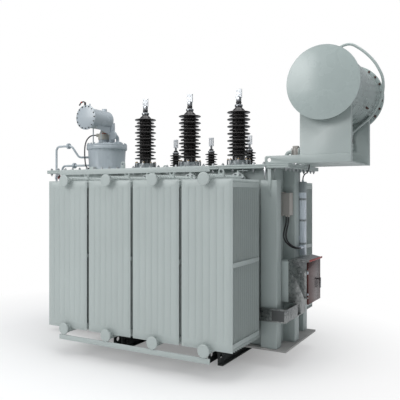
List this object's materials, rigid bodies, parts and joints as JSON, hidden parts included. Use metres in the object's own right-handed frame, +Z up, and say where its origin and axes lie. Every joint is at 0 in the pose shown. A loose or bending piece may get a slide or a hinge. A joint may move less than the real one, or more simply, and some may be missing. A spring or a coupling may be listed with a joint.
{
  "type": "power transformer",
  "caption": "Oil-filled power transformer with finned radiators on both sides, porcelain bushings, a tap changer head, an overhung conservator and an end control cabinet.",
  "frame": {"origin": "on the ground under the middle of the whole length and width", "axes": "+X along the tank towards the conservator, +Y across it away from the radiators seen in front, +Z up"},
  "size_m": [3.949, 2.4, 3.2485],
  "materials": {
    "base_paint": "dull grey primer",
    "black_cable": "matt black sheath",
    "conservator_paint": "gloss grey-green paint",
    "flange_metal": "grey paint",
    "gear_paint": "cream-grey paint",
    "porcelain": "dark brown glaze",
    "radiator_paint": "semi-gloss grey-green paint",
    "relay_paint": "warm grey paint",
    "skid_paint": "dull dark paint",
    "stainless": "bright stainless sheet",
    "tank_paint": "semi-gloss grey-green paint",
    "tap_changer_paint": "blue-grey paint",
    "terminal_metal": "bright cast and tinned metal"
  },
  "bodies": {
    "transformer": {"back_header_valves": "tank_paint", "back_radiator_1": "radiator_paint", "back_radiator_2": "radiator_paint", "back_radiator_3": "radiator_paint", "back_radiator_4": "radiator_paint", "back_tie_bars": "tank_paint", "base_plate": "base_paint", "breather_pipe": "tank_paint", "buchholz_pipe": "tank_paint", "buchholz_relay": "relay_paint", "bushing_flanges": "flange_metal", "cabinet_body": "stainless", "cabinet_bracket": "tank_paint", "cabinet_roof": "stainless", "cable_duct": "stainless", "cable_tray": "stainless", "conservator_back_bracket": "tank_paint", "conservator_barrel": "conservator_paint", "conservator_flange": "tank_paint", "conservator_floor": "tank_paint", "conservator_front_bracket": "tank_paint", "corner_boxes": "tank_paint", "cover_plate": "tank_paint", "end_stiffeners": "tank_paint", "front_header_valves": "tank_paint", "front_radiator_1": "radiator_paint", "front_radiator_2": "radiator_paint", "front_radiator_3": "radiator_paint", "front_radiator_4": "radiator_paint", "front_tie_bars": "tank_paint", "hv_bushing_1": "porcelain", "hv_bushing_2": "porcelain", "hv_bushing_3": "porcelain", "hv_terminal_1": "terminal_metal", "hv_terminal_2": "terminal_metal", "hv_terminal_3": "terminal_metal", "lifting_lugs": "tank_paint", "lv_bushing_1": "porcelain", "lv_bushing_2": "porcelain", "lv_bushing_3": "porcelain", "lv_terminals": "terminal_metal", "oltc_conservator": "tap_changer_paint", "oltc_drum": "tap_changer_paint", "oltc_elbow": "tap_changer_paint", "oltc_gear_housing": "gear_paint", "oltc_lid": "tap_changer_paint", "oltc_oil_pipes": "tank_paint", "oltc_struts": "tank_paint", "relay_cable": "black_cable", "side_stiffeners": "tank_paint", "skid_left": "skid_paint", "skid_right": "skid_paint", "tank_flange": "tank_paint", "tank_shell": "tank_paint", "tap_changer_cable": "black_cable", "terminal_box": "relay_paint", "terminal_cable_1": "black_cable", "terminal_cable_2": "black_cable"},
    "door": {"cabinet_door": "stainless"},
    "handle": {"cabinet_handle": "stainless"}
  },
  "joints": [
    {"name": "cabinet_door_hinge", "type": "hinge", "parent": "transformer", "child": "door", "pos_m": [1.38425, -0.33, 0.614], "axis": [0, 0, -1], "range_deg": [0, 110]},
    {"name": "door_handle_turn", "type": "hinge", "parent": "door", "child": "handle", "pos_m": [1.37825, 0.028, 0.82], "axis": [1, 0, 0], "range_deg": [0, 90]}
  ]
}
